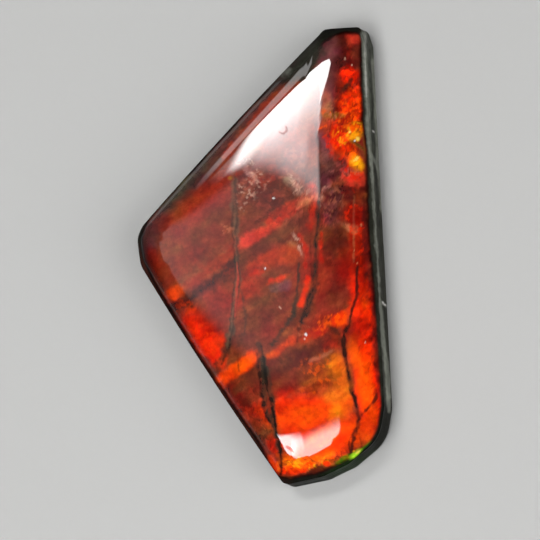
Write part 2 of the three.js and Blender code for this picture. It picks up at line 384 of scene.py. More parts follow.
# Each patch: colour, middle, half-length, half-width, turn anticlockwise in degrees, softness, raggedness
# and strength. Later ones lie over earlier ones.
PATCHES = dict(
    # the middle of the face
    left_cheek_top=(RUST, 204, 202, 36, 12, 42, 0.5, 0.3, 0.7),
    left_cheek_corner=(DUSK, 149, 240, 30, 11, 80, 0.5, 0.2, 1),
    left_cheek_red=(WINE, 155, 264, 18, 8, 110, 0.5, 0.3, 0.8),
    left_cheek_glow=(RUST, 180, 268, 18, 9, 50, 0.6, 0.3, 0.5),
    middle_high=(BROWN, 282, 188, 44, 28, 10, 0.5, 0.4, 0.8),
    middle_high_red=(RUST, 266, 181, 15, 8, 20, 0.6, 0.5, 0.6),
    haze_ground=(RUST, 296, 150, 30, 26, 40, 0.6, 0.4, 0.4),
    below_the_cheek=(RUST, 212, 314, 32, 20, 35, 0.5, 0.3, 0.8),
    red_bar_left=(CORAL, 252, 238, 16, 6, 30, 0.5, 0.6, 0.75),
    red_bar_end=(TAN, 311, 196, 9, 6, 34, 0.6, 0.6, 0.5),
    right_middle=(MAROON, 338, 252, 15, 40, 0, 0.5, 0.3, 0.85),
    right_middle_red=(RUST, 312, 276, 18, 24, 0, 0.5, 0.4, 0.7),
    right_middle_wine=(WINE, 345, 270, 9, 20, 0, 0.6, 0.4, 0.8),
    left_middle_red=(RED, 249, 290, 17, 11, 25, 0.6, 0.4, 0.4),
    orange_ledge=(SCARLET, 276, 258, 26, 9, 14, 0.6, 0.5, 0.35),
    middle_brown=(BROWN, 266, 308, 34, 22, 35, 0.7, 0.5, 0.35),
    middle_low=(RUST, 298, 322, 34, 10, 25, 0.6, 0.4, 0.35),
    plate_by_the_crack=(RED, 336, 343, 13, 7, 20, 0.6, 0.5, 0.45),
    low_right_dark=(BROWN, 336, 296, 12, 8, 40, 0.5, 0.4, 0.4),
    low_right_red=(RUST, 316, 328, 26, 10, 25, 0.6, 0.4, 0.75),
    low_right_orange=(SCARLET, 342, 318, 11, 5.5, 35, 0.5, 0.5, 0.95),
    low_right_rust=(RED, 316, 333, 18, 5, 22, 0.6, 0.8, 0.35),
    low_right_gap=(BROWN, 335, 332, 7, 3, -35, 0.5, 0.4, 0.5),
    by_the_right_crack=(SCARLET, 346, 326, 5, 4.5, 0, 0.6, 0.4, 0.6),
    slanting_ember=(SCARLET, 284, 346, 20, 4, 38, 0.5, 0.5, 0.45),
    slanting_heart=(ORANGE, 271, 356, 8, 4, 40, 0.6, 0.5, 0.6),
    # down the left edge
    ember=(SCARLET, 174, 294, 12, 7.5, 35, 0.5, 0.5, 0.75),
    edge_red=(RED, 200, 334, 24, 15, -55, 0.45, 0.3, 0.85),
    edge_red_heart=(RUBY, 194, 329, 11, 7, -40, 0.6, 0.4, 0.8),
    edge_scarlet=(RUBY, 212, 352, 18, 10, -58, 0.4, 0.3, 0.75),
    edge_scarlet_heart=(SCARLET, 218, 344, 11, 6, 60, 0.6, 0.4, 0.6),
    wedge=(SCARLET, 241, 366, 24, 8.5, 35, 0.35, 0.35, 1),
    wedge_foot=(SCARLET, 221, 381, 11, 7, 40, 0.4, 0.4, 1),
    wedge_heart=(ORANGE, 246, 362, 12, 5, 35, 0.6, 0.5, 0.4),
    foot_deep=(WINE, 248, 404, 27, 15, -56, 0.45, 0.3, 1),
    foot_deep_heart=(MAROON, 241, 396, 14, 8, -50, 0.6, 0.4, 0.65),
    foot_tip=(SCARLET, 273, 464, 9, 6, -60, 0.45, 0.4, 0.9),
    foot_dark=(BROWN, 260, 431, 14, 8, -56, 0.5, 0.4, 0.8),
    foot_warm=(RUST, 251, 423, 11, 6, -56, 0.6, 0.4, 0.7),
    foot_low_red=(RED, 275, 446, 10, 6, -60, 0.6, 0.4, 0.7),
    # the glowing foot
    under_the_band=(BRICK, 284, 383, 36, 14, 15, 0.5, 0.5, 0.8),
    amber_field=(AMBER, 330, 382, 26, 17, 40, 0.6, 0.4, 0.6),
    glow=(SCARLET, 306, 412, 38, 20, 10, 0.4, 0.3, 1),
    glow_heart=(ORANGE, 312, 416, 26, 10, 12, 0.6, 0.4, 0.25),
    glow_left_shade=(RED, 286, 406, 8, 12, 0, 0.6, 0.4, 0.75),
    glow_upper_shade=(RUST, 314, 389, 28, 8, 8, 0.6, 0.4, 0.65),
    glow_upper_left=(RED, 284, 393, 8, 6, 0, 0.6, 0.6, 0.35),
    glow_right=(FLAME, 342, 398, 9, 32, -6, 0.6, 0.4, 0.35),
    glow_right_shade=(AMBER, 330, 398, 8, 7, 0, 0.6, 0.4, 0.7),
    glow_right_foot=(ORANGE, 348, 408, 6, 10, 0, 0.6, 0.4, 0.6),
    amber_field_top=(FLAME, 338, 365, 6, 10, 0, 0.6, 0.4, 0.5),
    amber_lip=(GOLD, 335, 418, 5, 12, -10, 0.6, 0.4, 0.2),
    low_corner=(SCARLET, 340, 438, 36, 15, 22, 0.5, 0.3, 1),
    below_the_glow=(SCARLET, 300, 439, 20, 12, 0, 0.3, 0.2, 1),
    below_the_glow_heart=(FLAME, 318, 439, 20, 8, 25, 0.6, 0.3, 0.6),
    fringe=(ORANGE, 305, 460, 32, 9, 8, 0.5, 0.5, 0.9),
    fringe_gold=(FLAME, 298, 464, 12, 4, 10, 0.7, 0.9, 0.3),
    fringe_red_foot=(RUBY, 289, 471, 13, 4.5, 4, 0.5, 0.5, 0.8),
    # up the right edge
    right_strip_low=(RUBY, 369, 385, 50, 13, 94, 0.35, 0.25, 1),
    right_strip_glow=(ORANGE, 366, 384, 46, 8, 96, 0.6, 0.4, 0.8),
    right_strip=(RUBY, 364, 314, 50, 11, 96, 0.4, 0.3, 1),
    right_strip_bright=(SCARLET, 364, 291, 22, 4.5, 96, 0.6, 0.3, 0.85),
    right_strip_inner=(ORANGE, 355, 356, 16, 6, 98, 0.6, 0.4, 0.8),
    right_strip_dark=(WINE, 360, 330, 14, 14, 0, 0.5, 0.4, 0.75),
    right_strip_high=(WINE, 360, 248, 44, 10, 95, 0.4, 0.3, 1),
    right_strip_vein=(RED, 360, 272, 24, 3, 95, 0.7, 0.4, 0.3),
    maroon_shelf=(MAROON, 346, 194, 22, 10, 10, 0.45, 0.4, 0.95),
    right_shelf=(WINE, 354, 214, 15, 9, 20, 0.5, 0.4, 0.9),
    mauve_field=(MAUVE, 334, 208, 9, 22, 0, 0.5, 0.4, 0.8),
    tan_ledge=(TAN, 346, 227, 10, 3.5, -15, 0.8, 1.2, 0.4),
    # the top
    top=(MAROON, 336, 52, 28, 26, 0, 0.4, 0.3, 1),
    top_plum=(PLUM, 326, 84, 10, 52, 0, 0.5, 0.3, 0.9),
    upper_right=(WINE, 346, 120, 18, 54, 0, 0.4, 0.3, 0.9),
    upper_left=(DUSK, 226, 144, 100, 9.5, 47, 0.35, 0.15, 1),
    upper_left_dark=(SMOKE, 182, 184, 44, 8.5, 47, 0.35, 0.15, 0.85),
    plum_band=(PLUM, 326, 130, 7, 68, 0, 0.5, 0.4, 0.9),
    top_ember=(CORAL, 356, 39, 9, 6, 0, 0.6, 0.8, 0.9),
    top_dark=(UMBER, 339, 64, 10, 7, 0, 0.6, 0.4, 0.65),
    top_red=(RUBY, 350, 76, 8.5, 8, 0, 0.45, 0.5, 1),
    flame=(RUBY, 351, 107, 11, 20, 0, 0.4, 0.6, 1),
    flame_top=(SCARLET, 355, 104, 6, 12, 0, 0.6, 0.8, 0.6),
    rust_field=(RUST, 332, 124, 12, 12, 0, 0.5, 0.8, 0.9),
    rust_haze=(TAN, 325, 104, 6, 14, 0, 0.6, 0.5, 0.55),
    plum_low=(MAUVE, 333, 84, 6, 12, 0, 0.6, 0.4, 0.6),
    rust_olive=(OLIVE, 334, 115, 12, 2.5, 0, 0.8, 1.2, 0.7),
    sparks=(ORANGE, 353, 134, 10, 12, 0, 0.45, 0.7, 1),
    sparks_lower=(SCARLET, 346, 149, 13, 8, 0, 0.5, 0.6, 0.8),
    sparks_red=(RUBY, 343, 139, 8, 14, 20, 0.5, 0.8, 0.85),
    sparks_gold=(GOLD, 356, 138, 7, 5, 0, 0.7, 1, 1),
    lower_sparks=(ORANGE, 355, 162, 7.5, 9, 20, 0.45, 0.7, 1),
    lower_gold=(GOLD, 357, 164, 5, 5.5, 0, 0.7, 1, 0.75),
    crumple=(CORAL, 351, 177, 11, 7, 10, 0.5, 0.9, 0.8),
    crumple_tan=(TAN, 350, 173, 7, 3, 10, 0.7, 1.1, 0.5),
    shadow_under_plum=(MAUVE, 334, 170, 13, 15, 0, 0.5, 0.6, 0.7),
    shelf_top=(RUST, 360, 195, 5, 8, 0, 0.6, 0.5, 0.5),
    by_the_middle_crack=(MAROON, 326, 202, 6, 9, 0, 0.6, 0.5, 0.5),
    top_right_brown=(BRICK, 357, 55, 5, 11, 0, 0.6, 0.4, 0.7),
)

# Each streak: colour, its course as (x, y, half-width), edge softness, wobble and strength.
STREAKS = dict(
    upper_left_line=(ROSE, [(290, 88, 2), (277, 99, 4), (261, 115, 4), (248, 129, 3), (234, 144, 2),
        (224, 156, 1)], 4, 3, 0.9),
    above_the_band=(RUST, [(188, 286, 2), (204, 276, 3), (222, 261, 3), (236, 248, 2)], 5, 4, 0.7),
    upper_band=(BROWN, [(168, 309, 4), (186, 303, 4.5), (214, 282, 5), (245, 259, 5), (272, 239, 4),
        (295, 225, 4.5), (314, 213, 3)], 5, 4, 0.8),
    upper_band_heart=(UMBER, [(167, 311, 1.5), (173, 308, 2.5), (186, 302, 2.5), (201, 291, 2.5),
        (222, 274, 2.5), (235, 261, 2)], 3.5, 4, 0.7),
    red_bar_upper=(RED, [(266, 222, 2), (278, 213, 3), (291, 203, 1.5)], 4, 4, 0.4),
    red_bar_middle=(RED, [(258, 234, 3), (272, 226, 3), (287, 214, 2), (300, 203, 1.5)], 4, 4, 0.4),
    lower_band=(BROWN, [(240, 390, 3), (250, 378, 5), (270, 369, 6), (295, 361, 6.5), (318, 349, 6),
        (336, 340, 4)], 5, 6, 0.8),
    lower_band_heart=(UMBER, [(284, 364, 3), (306, 356, 3), (322, 346, 2)], 5, 5, 0.3),
    dark_spot=(PLUM, [(274, 290, 3), (286, 286, 3.5)], 3.5, 4, 0.85),
    dark_smudge=(BROWN, [(252, 304, 3), (266, 300, 5), (282, 297, 4)], 6, 6, 0.6),
    dark_gap=(BROWN, [(228, 346, 2), (222, 358, 3), (214, 370, 3.5), (208, 376, 3)], 3, 3, 0.85),
    slanting_shade=(BROWN, [(268, 350, 3), (288, 334, 4), (300, 312, 4), (312, 296, 3)], 5, 6, 0.6),
    shelf_shade=(BROWN, [(228, 345, 4), (244, 342, 6), (262, 342, 5)], 5, 5, 0.8),
    shelf_shade_left=(MOSS, [(231, 322, 1), (229, 338, 3), (226, 350, 3)], 4, 5, 0.5),
    ember_left=(RUBY, [(251, 275, 1), (264, 271, 1)], 3.5, 6, 0.6),
    ember_middle=(RUBY, [(270, 282, 0.5), (284, 277, 1)], 3.5, 6, 0.6),
    ember_right=(RUBY, [(307, 278, 1), (302, 305, 1.5)], 3, 4, 0.8),
    red_vein=(RED, [(312, 186, 2), (314, 205, 2.5), (311, 226, 2)], 4, 5, 0.5),
    red_vein_right=(RED, [(322, 234, 1), (321, 262, 1)], 2.5, 3, 0.6),
    red_vein_left=(RED, [(300, 236, 1.5), (306, 248, 2), (306, 266, 1.5)], 3, 4, 0.6),
    right_strip_shade=(MAROON, [(363, 190, 1), (366, 240, 2.5), (373, 300, 2.5), (377.5, 350, 2.5),
        (381, 392, 1)], 5, 3, 0.8),
    tan_vein=(TAN, [(291, 244, 1), (298, 248, 1.5), (304, 257, 1)], 4, 8, 0.5),
    pale_vein_left=(TAN, [(236, 202, 0.6), (246, 192, 1.4), (254, 182, 1.6), (262, 173, 1)], 5, 12, 0.4),
    pale_vein_top=(CREAM, [(246, 168, 0.6), (252, 172, 1.2), (258, 180, 1)], 5, 12, 0.5),
    pale_vein_middle=(CREAM, [(288, 180, 1), (294, 183, 1.6), (299, 190, 1)], 5, 10, 0.3),
    pale_vein_right=(TAN, [(300, 205, 1), (309, 198, 1.6), (316, 196, 1.6), (323, 197, 1.6)], 4, 10, 0.6),
    low_vein=(TAN, [(311, 362, 0.3), (320, 357, 0.8), (332, 352, 0.4)], 2.5, 5, 0.6),
    edge_streak=(TAN, [(354, 196, 0.2), (354, 262, 0.2)], 1.6, 2, 0.25),
)

# Cracks, the same way.
CRACKS = dict(
    left_crack_body=(KHAKI, [(233, 170, 0.6), (234, 180, 1.2), (233, 200, 1.8), (235, 215, 1.9),
        (236, 235, 1.4), (237, 255, 0.9), (237, 275, 1.4), (236, 292, 2), (233, 312, 2), (230, 332, 1.8),
        (227, 346, 0.6)], 3, 4, 0.6),
    left_crack_branch=(MOSS, [(239, 284, 0.3), (243, 300, 0.8), (246, 318, 0.8), (245, 334, 0.4)], 2.4, 5,
        0.6),
    left_crack_line=(CRACK, [(234, 175, 0.3), (237, 213, 0.5), (236, 235, 0.4), (238, 254, 0.7),
        (238, 291, 0.7), (234, 316, 0.5), (229, 346, 0.7), (221, 364, 0.4)], 1.8, 4, 0.65),
    left_crack_2nd_line=(CRACK, [(234, 200, 0.2), (232, 220, 0.4), (234, 248, 0.2), (235, 275, 0.4),
        (232, 306, 0.5), (229, 330, 0.4)], 1.6, 4, 0.7),
    left_crack_ember=(CORAL, [(237, 262, 0.2), (237.5, 280, 0.6), (236, 300, 0.6), (235, 316, 0.2)], 1.4, 3,
        0.45),
    middle_crack=(CRACK, [(320, 190, 0.5), (318, 213, 0.9), (316, 247, 0.9), (316, 280, 1), (312, 300, 0.9),
        (306, 316, 0.6), (300, 325, 0.4)], 2, 4, 0.75),
    middle_crack_head=(UMBER, [(318, 124, 0.4), (320, 150, 0.9), (319, 172, 0.7), (320, 190, 0.4)], 3, 6,
        0.55),
    middle_crack_body=(MOSS, [(319, 200, 1), (317, 236, 1.3), (315, 262, 1.6), (314, 285, 2),
        (309, 306, 2.6), (303, 322, 1.4)], 3, 5, 0.5),
    middle_crack_2nd_line=(CRACK, [(311, 240, 0.2), (310, 262, 0.4), (312, 285, 0.4), (307, 306, 0.6),
        (301, 325, 0.5), (297, 340, 0.2)], 2, 6, 0.7),
    middle_crack_3rd_line=(MOSS, [(298, 262, 0.2), (297, 285, 0.4), (297, 300, 0.5), (291, 318, 1.2),
        (280, 334, 1.6), (272, 346, 1)], 2.2, 6, 0.85),
    low_crack_body=(MOSS, [(259, 343, 2), (261, 352, 3), (264, 368, 3.8), (266.5, 384, 4.8),
        (267.5, 400, 5.6), (271, 414, 4.2), (274.5, 427, 2.2), (277.5, 440, 1.2), (281.5, 454, 1)], 2, 3,
        0.9),
    low_crack_sliver=(RUST, [(267.5, 393, 0.4), (268.5, 405, 0.8), (270, 415, 0.3)], 1.6, 3, 0.6),
    low_crack_left=(CRACK, [(257, 352, 0.5), (259, 366, 0.8), (260, 384, 0.9), (262, 398, 0.8),
        (265, 412, 0.6), (270, 424, 0.4)], 1.8, 4, 0.85),
    low_crack_line=(BLACK, [(262, 346, 0.6), (264, 366, 0.8), (267, 386, 0.8), (271, 404, 0.7),
        (275, 420, 0.6), (277, 434, 0.6), (281, 448, 0.8), (282, 463, 1), (281, 474, 0.9)], 1.6, 3, 0.85),
    right_crack_top=(CRACK, [(358, 266, 0.4), (357, 275, 0.7), (357, 288, 0.9), (356, 300, 1),
        (353, 310, 1), (350, 322, 1.2), (346, 333, 1.3)], 1.6, 3, 0.9),
    right_crack=(CRACK, [(344, 335, 1.4), (343.5, 344, 2.2), (345.5, 356, 2), (348, 370, 1.6),
        (351, 385, 1.7), (354, 398, 1.6), (357, 410, 1.3), (359, 420, 1.2)], 1.6, 3, 0.95),
    right_crack_foot=(CRACK, [(359, 420, 1.4), (358, 428, 1.6), (354.5, 435, 2.4), (353, 442, 1.1),
        (352.5, 450, 0.9), (351, 456, 0.6)], 1.6, 3, 0.9),
    right_crack_loop=(CRACK, [(355, 432, 0.3), (350.5, 438, 0.5), (349, 444, 0.5), (350.5, 451, 0.4)], 1.4,
        2, 0.8),
    right_crack_side=(CRACK, [(359, 426, 0.4), (360, 436, 0.3), (361.5, 445, 0.3), (361, 449, 0.2)], 1.4, 2,
        0.4),
    right_crack_arm=(UMBER, [(329, 326, 0.4), (336, 331, 1.1), (343, 340, 1)], 2.4, 3, 0.75),
    right_crack_branch=(CRACK, [(360, 418, 0.6), (366, 411, 0.7), (372, 404, 0.5), (378, 397, 0.6)], 1.5, 3,
        0.85),
    wedge_line=(CRACK, [(238, 353, 0.3), (237.5, 362, 0.4), (239, 371, 0.3)], 1.2, 2, 0.7),
    top_crack=(UMBER, [(335, 100, 0.6), (342, 92, 1.4), (348, 85, 1.6), (352, 78, 0.8)], 2.2, 3, 0.85),
    flash_stroke=(OLIVE, [(351, 141, 0.6), (357, 145, 1.6), (363, 150, 1.4)], 2, 3, 0.6),
    flash_stroke_line=(FOREST, [(354, 142, 0.2), (359, 146, 0.7), (364, 150, 0.6)], 1.6, 2, 0.8),
    lavender_line=(MAUVE, [(334, 98, 0.3), (334, 126, 0.3)], 1.2, 1, 0.6),
    edge_green=(OLIVE, [(363, 136, 0.6), (364.5, 146, 1), (366, 158, 0.4)], 2, 3, 0.5),
)

SPECKS = [  # colour, middle and radius
    (WHITE, (273.5, 198.5), 0.9),
    (WHITE, (265.5, 268.5), 0.8),
    (CREAM, (280, 307.5), 1),
    (WHITE, (306, 334.5), 1.4),
    (CREAM, (305, 339), 0.9),
    (CREAM, (366, 343), 0.8),
    (TAN, (361, 225), 1.1),
    (TAN, (354, 250), 0.8),
    (TAN, (357.5, 263), 0.7),
    (CREAM, (345, 59), 0.8),
    (CREAM, (352, 66), 0.8),
    (OLIVE, (230, 178), 2),
    (YELLOW, (358, 139), 2.2),
    (WHITE, (355, 141), 1),
    (YELLOW, (350, 132), 1.4),
]

# Where the shell is crumpled: middle, half-length, half-width, turn and strength.
CRUMPLED = dict(
    upper_middle=(282, 190, 52, 40, 10, 0.7),
    right_middle=(334, 200, 20, 60, 0, 0.9),
    top_right=(348, 120, 20, 66, 0, 1),
    foot_left=(256, 420, 40, 20, -56, 0.8),
    fringe=(312, 464, 50, 10, 12, 1),
    left_edge=(200, 330, 70, 16, -56, 0.3),
    amber_field=(322, 378, 34, 16, 30, 0.45),
    right_strip=(366, 330, 110, 10, 94, 0.5),
)

# Thin pale crumpled lines: colour, middle, half-length, half-width, turn and strength.
WISPS = dict(
    calcite_top=(CREAM, 252, 170, 16, 8, -20, 0.5),
    calcite_left=(CREAM, 247, 192, 17, 12, 60, 0.45),
    calcite_middle=(CREAM, 262, 182, 12, 8, 30, 0.4),
    calcite_right=(CREAM, 293, 184, 13, 7, -30, 0.45),
    haze=(TAN, 296, 160, 26, 22, 30, 0.25),
    crack_head=(CREAM, 321, 188, 18, 6, 90, 0.4),
    red_bar=(TAN, 312, 198, 12, 8, 34, 0.25),
    tan_vein=(CREAM, 299, 244, 15, 6, -65, 0.5),
    mauve_field=(TAN, 334, 208, 24, 10, 80, 0.3),
    tan_ledge=(TAN, 349, 227, 12, 4, -30, 0.6),
    left_flecks=(TAN, 226, 228, 10, 5, 0, 0.55),
    rust_field=(TAN, 330, 116, 14, 4, 5, 0.9),
    flame=(ORANGE, 350, 102, 24, 9, 90, 0.5),
    sparks=(GOLD, 352, 134, 16, 10, 30, 0.8),
    foot_left=(RUST, 252, 430, 22, 8, -56, 0.3),
    amber_field=(ORANGE, 318, 362, 24, 8, 25, 0.4),
    low_right=(ORANGE, 330, 322, 22, 10, 30, 0.6),
    low_middle=(TAN, 303, 330, 14, 6, 40, 0.5),
    fringe=(GOLD, 306, 464, 34, 7, 8, 0.7),
    right_strip=(ORANGE, 368, 390, 50, 6, 95, 0.4),
    plateau=(RUST, 206, 268, 44, 30, 30, 0.35),
)

# Flakes of another colour: the same, with the share of the flakes that have it before the strength.
FLAKES = dict(
    sparks_gold=(GOLD, 354, 134, 9, 7, 0, 0.3, 1),
    sparks_dark=(WINE, 344, 132, 10, 12, 0, 0.3, 0.7),
    sparks_red=(RED, 338, 140, 12, 20, 0, 0.3, 0.7),
    lower_gold=(GOLD, 356, 164, 6, 7, 0, 0.5, 1),
    lower_yellow=(YELLOW, 357, 164, 4, 6, 0, 0.25, 0.9),
    corner_gold=(GOLD, 357, 448, 6, 5, 0, 0.3, 1),
    lower_red=(RED, 351, 173, 9, 8, 0, 0.5, 0.8),
    flame=(SCARLET, 350, 104, 10, 14, 0, 0.4, 0.8),
    flame_dark=(WINE, 346, 112, 14, 20, 0, 0.25, 0.8),
    rust=(ORANGE, 330, 122, 12, 12, 0, 0.2, 0.8),
    fringe_gold=(FLAME, 300, 463, 24, 6, 8, 0.2, 1),
    fringe_yellow=(GOLD, 294, 465, 14, 4, 8, 0.12, 1),
    fringe_red=(RUBY, 310, 466, 36, 8, 8, 0.3, 0.8),
    right_embers=(RUBY, 352, 236, 12, 40, 0, 0.15, 0.4),
    low_right_embers=(ORANGE, 338, 318, 12, 8, 30, 0.4, 0.8),
    edge_embers=(SCARLET, 198, 330, 40, 12, -56, 0.25, 0.35),
    amber_flakes=(ORANGE, 322, 376, 26, 12, 30, 0.2, 0.4),
)

# The edge of the coloured shell, anticlockwise from the top right. Outside it the dark stone shows.
SHELL_EDGE = [
    (361, 33), (344, 32), (333, 35), (324, 42), (306, 60), (288, 79), (277, 83), (255, 102), (200, 161),
    (160, 203), (146, 222), (141, 236), (141.5, 248), (145, 263), (159, 292), (180, 327), (211, 375),
    (240, 417), (260, 446), (276, 477), (290, 479.5), (300, 477.5), (312, 475.5), (331, 468), (341, 463.5),
    (354, 457.5), (371, 447), (379.5, 431), (384, 400), (380.5, 350), (375.5, 300), (369.5, 240),
    (368, 190), (366.8, 150), (362.5, 115), (361.5, 60),
]
# Along this line, of (x, y, half-width), painted shade darkens the colour down the lower-left shoulder.
LOW_LEFT_SHADE_LINE = [
    (139, 236, 0), (139, 244, 0), (145, 263, 0), (159, 292, 0), (180, 327, 0), (200, 358, -6),
    (216, 382, -6), (240, 417, -2), (254, 438, -2), (264, 452, -8), (277, 474, -10),
]

# Stone colours outside the shell's edge and down the wall, as patches and as lines along the wall.
RIM_PATCHES = dict(
    upper_left_rim=(SMOKE, 224, 136, 110, 16, 47, 0.3, 0.2, 0.8),
    lower_left_rim=(UMBER, 204, 362, 145, 18, -57, 0.3, 0.2, 0.9),
    right_top_strip=(EARTH, 362, 100, 5, 60, 0, 0.5, 0.3, 0.85),
    right_wall=(SLATE, 378, 210, 16, 190, 4, 0.15, 0.1, 1),
    right_wall_top=(GREY, 371, 80, 7, 60, 2, 0.5, 0.1, 0.5),
    foot_shade=(FOREST, 350, 466, 30, 5, 24, 0.6, 0.4, 0.7),
)
WALL_LINES = dict(
    # a pale line, with a white line in its upper part, runs along the top of the right wall
    pale_wall_line=(ASH, [(364, 34, 2.2), (364.5, 60, 2), (366, 82, 1.2), (367, 100, 1), (368.5, 135, 1.8),
        (371, 160, 1), (373, 190, 1), (376, 240, 0.8), (380, 300, 0.5), (384, 345, 1.4), (388, 380, 2),
        (389, 400, 1.6), (389, 412, 0.4)], 1.6, 1.5, 1),
    bright_line=(WHITE, [(365, 36, 0.3), (365, 60, 0.3), (366, 82, 0.6), (366.5, 96, 0.2)], 1.2, 1.5, 0.35),
    dark_layer=(STONE, [(369.5, 50, 0.3), (372, 100, 0.4), (373.5, 135, 0.6), (374.5, 160, 0.6),
        (376.5, 190, 0.7), (378.5, 225, 0.2)], 1.6, 1.5, 0.8),
    pale_foot=(ASH, [(373, 60, 1.5), (375.5, 100, 0.8), (376.5, 135, 0.8), (377.5, 160, 1), (380, 190, 0.8),
        (382, 215, 0.3)], 1.5, 1.5, 0.8),
    vein=(ASH, [(367, 142, 0.3), (373, 158, 0.5), (379, 172, 0.4), (383, 182, 0.2)], 1.2, 2, 0.7),
    nick=(WHITE, [(383, 303, 0.5), (386, 306, 0.5)], 1, 0, 0.9),
    speck=(WHITE, [(373, 131, 0.3), (374, 132, 0.3)], 0.8, 0, 0.9),
)
# Patches that lie over both shell and stone.
FLASHES = dict(
    top_left_matrix=(SLATE, 305, 63, 27, 9.5, 51, 0.3, 0.3, 0.95),
    calcite=(ASH, 290, 71, 6, 3, 42, 0.9, 1.4, 0.7),
    green=(GREEN, 341, 460, 8, 2, 30, 0.7, 0.6, 0.6),
    lime=(LIME, 356, 454, 6, 2, 38, 0.6, 0.5, 1),
    yellow=(YELLOW, 358.5, 452.5, 2.5, 0.7, 38, 0.6, 0.3, 0.8),
    green_right=(GREEN, 366, 446, 5, 1.1, 42, 0.7, 0.6, 0.35),
)

# Marks in the polish, as courses of (x, y, half-width).
MARKS = [
    [(286, 126, 0.2), (287, 131, 0.5), (283, 134, 0.4), (279, 132, 0.2)],
    [(287, 447, 1), (290, 449, 1.4), (293, 452, 0.6)],
]

BAND_SLANT = 30  # the shell's bands rise to the right by this many degrees
STREAK_STRETCH = 3.5
PLATE_STRETCH = 1.5
PLATE_SIZE = 7.5  # pixels
FLAKE_SIZE = 3.6
DRIFT, SHIVER = 10, 6  # how far in pixels the two bends move a patch
PLATE_DRIFT, PLATE_SHIVER = 14, 9
BENT_WIDTH = 10  # patches narrower than this are bent less
ROUGH_REACH, FINE_REACH = 2.2, 0.9  # how much the noise shifts a patch's edge, as shares of its size
EVEN_CRUMPLE = 0.24  # how crumpled the shell is away from the places in CRUMPLED
PLATE_LIGHT = 0.9
FLAKE_LIGHT = 0.8
SEAM_STRENGTH = 0.55
STREAK_LIGHT, BLOTCH_LIGHT, FINE_LIGHT = 0.75, 0.7, 0.5
STREAK_WARMTH, PATCH_WARMTH = 0.8, 1.2
ROCK_LIGHT = 0.9
RIM_SHADE_FLOOR = 0.1  # what is left of the colour under the painted shade at the shell's edge
RIM_SHADE_FADE = (0, 3.5)  # pixels in from the edge over which the painted shade lifts
# pixels from that line over which the lower-left painted shade lifts
LOW_LEFT_SHADE_FADE = (-2, 14)
BEVEL_FADE = (-0.05, 0.08)  # heights over the rim between which the bevel's bare stone ends
POLISH_FADE = (1.75, 2.05)  # heights over the rim between which the full polish begins
RIM_DULLNESS = 0.97
STONE_DULLNESS = 0.9
MARK_POLISH = 0.3


def linear(rgb):
    """A screen colour as linear light."""
    value = np.asarray(rgb, float) / 255
    return np.where(value <= 0.04045, value / 12.92, ((value + 0.055) / 1.055) ** 2.4)


def lay(paint, colour, amount):
    """A palette colour laid over the paint by an amount from 0 to 1 at each point."""
    amount = np.clip(amount, 0, 1)[:, None]
    return paint * (1 - amount) + linear(colour) * amount


def line_distance(pixels, course):
    """Distance to a course of (x, y, half-width), less its half-width there."""
    nearest = np.full(len(pixels), np.inf)
    for (x, y, width), (next_x, next_y, next_width) in zip(course[:-1], course[1:]):
        start = np.array([x, y])
        along = np.array([next_x, next_y]) - start
        part = np.clip((pixels - start) @ along / (along @ along), 0, 1)
        away = np.linalg.norm(pixels - start - part[:, None] * along, axis=1)
        nearest = np.minimum(nearest, away - width - (next_width - width) * part)
    return nearest


def inside_distance(pixels, corners):
    """Distance to the edge of a closed polygon, negative outside it."""
    closed = corners + corners[:1]
    away = line_distance(pixels, [(x, y, 0) for x, y in closed])
    inside = np.zeros(len(pixels), bool)
    for (x, y), (next_x, next_y) in zip(closed[:-1], closed[1:]):
        if y == next_y:
            continue
        crossing = x + (pixels[:, 1] - y) * (next_x - x) / (next_y - y)
        inside ^= ((y > pixels[:, 1]) != (next_y > pixels[:, 1])) & (pixels[:, 0] < crossing)
    return np.where(inside, away, -away)


def turned(places, turn):
    """Places turned so that the first number runs along a direction that rises by a number of degrees."""
    angle = np.radians(turn)
    along = places[:, 0] * np.cos(angle) - places[:, 1] * np.sin(angle)
    across = places[:, 0] * np.sin(angle) + places[:, 1] * np.cos(angle)
    return np.stack([along, across], 1)


class Wander:
    """The noise fields that bend and roughen everything painted, at each pixel place.

    Each takes a lump size in pixels and a seed, and then perhaps a number of octaves and a roughness.
    """

    def __init__(self, pixels):
        flat = np.column_stack([pixels, np.zeros(len(pixels))])
        self.pixels = pixels
        self.drift = np.stack([clouds(flat, 26, 11), clouds(flat, 26, 12)], 1)
        self.shiver = np.stack([clouds(flat, 8, 13), clouds(flat, 8, 14)], 1)
        self.rough = clouds(flat, 14, 15, 5, 0.65)
        self.fine = clouds(flat, 5, 16, 3, 0.6)
        self.grain = clouds(flat, 2.6, 17, 2, 0.6)
        self.blotch = clouds(flat, 22, 22, 5, 0.6)
        self.warm = clouds(flat, 18, 23)
        self.gaps = clouds(flat, 16, 24, 3, 0.6)
        slanted = turned(pixels, BAND_SLANT) / np.array([STREAK_STRETCH, 1])
        self.streak = clouds(np.column_stack([slanted, 0 * slanted[:, 0]]), 8, 21, 4, 0.6)
        bent = pixels + PLATE_DRIFT * self.drift + PLATE_SHIVER * self.shiver
        bent = turned(bent, BAND_SLANT) / np.array([PLATE_STRETCH, 1])
        self.plate, self.seam = facets(bent, PLATE_SIZE, 31)
        self.flake, self.fold = facets(bent, FLAKE_SIZE, 35)

    def reach(self, x, y, long, wide, turn, ragged):
        """How far each place lies from a patch's middle, where 1 is its edge."""
        bend = min(1.0, wide / BENT_WIDTH)
        at = self.pixels + bend * (DRIFT * self.drift + SHIVER * self.shiver)
        away = turned(at - np.array([x, y]), turn) / np.array([long, wide])
        return np.linalg.norm(away, axis=1) + ragged * (ROUGH_REACH * self.rough + FINE_REACH * self.fine)


